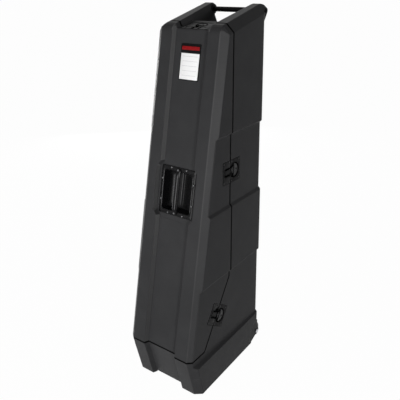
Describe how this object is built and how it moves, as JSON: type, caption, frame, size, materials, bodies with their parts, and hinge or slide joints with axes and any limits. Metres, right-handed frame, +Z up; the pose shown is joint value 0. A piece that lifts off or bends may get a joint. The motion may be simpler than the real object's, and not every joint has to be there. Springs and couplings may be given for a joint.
{
  "type": "dual bass guitar case",
  "caption": "Tall moulded travel case for two bass guitars side by side, with a side-hinged lid, sunk twist latches, a tow bar, a carry handle and wheels.",
  "frame": {"origin": "on the floor, under the middle of the case's footprint", "axes": "+Z up along the case, -Y towards the lid and carry handle, +X towards the side with the latches"},
  "size_m": [0.328, 0.5128, 1.4049],
  "materials": {
    "moulded_polyethylene": "fine pebbled, satin",
    "black_plastic": "smooth satin",
    "black_steel": "black powder coat, semi-gloss",
    "bright_steel": "zinc plated",
    "urethane": "satin",
    "foam": "soft, matte",
    "webbing": "woven",
    "card": "white card",
    "red_strip": "printed red"
  },
  "bodies": {
    "case": {"back_shell": "moulded_polyethylene", "body_liner": "foam", "base_pad": "foam", "divider": "foam", "neck_cradle_left": "foam", "neck_cradle_right": "foam", "neck_strap_left": "webbing", "neck_strap_right": "webbing", "locating_strip_left": "black_steel", "locating_strip_right_lower": "black_steel", "locating_strip_right_upper": "black_steel", "hinge_lower_body_leaf": "black_steel", "hinge_lower_pin": "bright_steel", "hinge_upper_body_leaf": "black_steel", "hinge_upper_pin": "bright_steel", "tow_bar": "black_steel", "tow_bar_collar_left": "black_steel", "tow_bar_collar_right": "black_steel", "tow_bar_bolt_left": "black_steel", "tow_bar_bolt_right": "black_steel", "wheel_housing_left": "black_plastic", "wheel_housing_right": "black_plastic", "axle_left": "bright_steel", "axle_right": "bright_steel", "axle_nut_left": "bright_steel", "axle_nut_right": "bright_steel", "upper_latch_dish": "black_steel", "lower_latch_dish": "black_steel", "top_latch_dish": "black_steel"},
    "lid": {"lid_shell": "moulded_polyethylene", "lid_liner": "foam", "hinge_lower_lid_leaf": "black_steel", "hinge_upper_lid_leaf": "black_steel", "upper_latch_keeper": "black_steel", "lower_latch_keeper": "black_steel", "top_latch_keeper": "black_steel", "carry_handle_dish": "black_plastic", "carry_handle_grip": "black_plastic", "card_holder": "black_plastic", "card": "card", "card_strip": "red_strip"},
    "wheel_left": {"tyre_left": "urethane", "wheel_hub_left": "black_plastic", "bearing_left_inner": "bright_steel", "bearing_left_outer": "bright_steel"},
    "wheel_right": {"tyre_right": "urethane", "wheel_hub_right": "black_plastic", "bearing_right_inner": "bright_steel", "bearing_right_outer": "bright_steel"},
    "upper_hub": {"upper_latch_hub": "black_steel"},
    "upper_flap": {"upper_latch_flap": "black_steel"},
    "upper_hook": {"upper_latch_hook": "black_steel"},
    "lower_hub": {"lower_latch_hub": "black_steel"},
    "lower_flap": {"lower_latch_flap": "black_steel"},
    "lower_hook": {"lower_latch_hook": "black_steel"},
    "top_hub": {"top_latch_hub": "black_steel"},
    "top_flap": {"top_latch_flap": "black_steel"},
    "top_hook": {"top_latch_hook": "black_steel"}
  },
  "joints": [
    {"name": "lid_hinge", "type": "hinge", "parent": "case", "child": "lid", "pos_m": [-0.1514, 0.01388, 0.9], "axis": [-0.01, -0.0187, -0.9998], "range_deg": [0, 120]},
    {"name": "wheel_left_spin", "type": "hinge", "parent": "case", "child": "wheel_left", "pos_m": [-0.134, 0.219, 0.0415], "axis": [1, 0, 0], "continuous": true},
    {"name": "wheel_right_spin", "type": "hinge", "parent": "case", "child": "wheel_right", "pos_m": [0.134, 0.219, 0.0415], "axis": [1, 0, 0], "continuous": true},
    {"name": "upper_latch_turn", "type": "hinge", "parent": "case", "child": "upper_hub", "pos_m": [0.13984, 0.03906, 0.85548], "axis": [0.9999, 0, 0.01], "range_deg": [0, 180]},
    {"name": "upper_latch_flap_fold", "type": "hinge", "parent": "upper_hub", "child": "upper_flap", "pos_m": [0.14114, 0.03906, 0.8555], "axis": [0.01, -0.0187, -0.9998], "range_deg": [0, 90]},
    {"name": "upper_latch_draw", "type": "slide", "parent": "case", "child": "upper_hook", "axis": [-0.5406, 0.841, -0.0211], "range_m": [0, 0.00833]},
    {"name": "lower_latch_turn", "type": "hinge", "parent": "case", "child": "lower_hub", "pos_m": [0.14554, -0.06049, 0.28596], "axis": [0.9999, 0, 0.01], "range_deg": [0, 180]},
    {"name": "lower_latch_flap_fold", "type": "hinge", "parent": "lower_hub", "child": "lower_flap", "pos_m": [0.14684, -0.06049, 0.28597], "axis": [0.0083, -0.5583, -0.8296], "range_deg": [0, 90]},
    {"name": "lower_latch_draw", "type": "slide", "parent": "case", "child": "lower_hook", "axis": [-0.536, 0.6979, -0.475], "range_m": [0, 0.00833]},
    {"name": "top_latch_turn", "type": "hinge", "parent": "case", "child": "top_hub", "pos_m": [0, 0.04661, 1.34176], "axis": [0, -0.1961, 0.9806], "range_deg": [0, 180]},
    {"name": "top_latch_flap_fold", "type": "hinge", "parent": "top_hub", "child": "top_flap", "pos_m": [0, 0.04636, 1.34304], "axis": [1, 0, 0], "range_deg": [0, 90]},
    {"name": "top_latch_draw", "type": "slide", "parent": "case", "child": "top_hook", "axis": [0, 0.8922, -0.4516], "range_m": [0, 0.00891]}
  ],
  "couplings": [
    {"joint": "upper_latch_draw", "follows": "upper_latch_turn", "m_per_rad": 0.002649},
    {"joint": "lower_latch_draw", "follows": "lower_latch_turn", "m_per_rad": 0.002649},
    {"joint": "top_latch_draw", "follows": "top_latch_turn", "m_per_rad": 0.0028336}
  ]
}
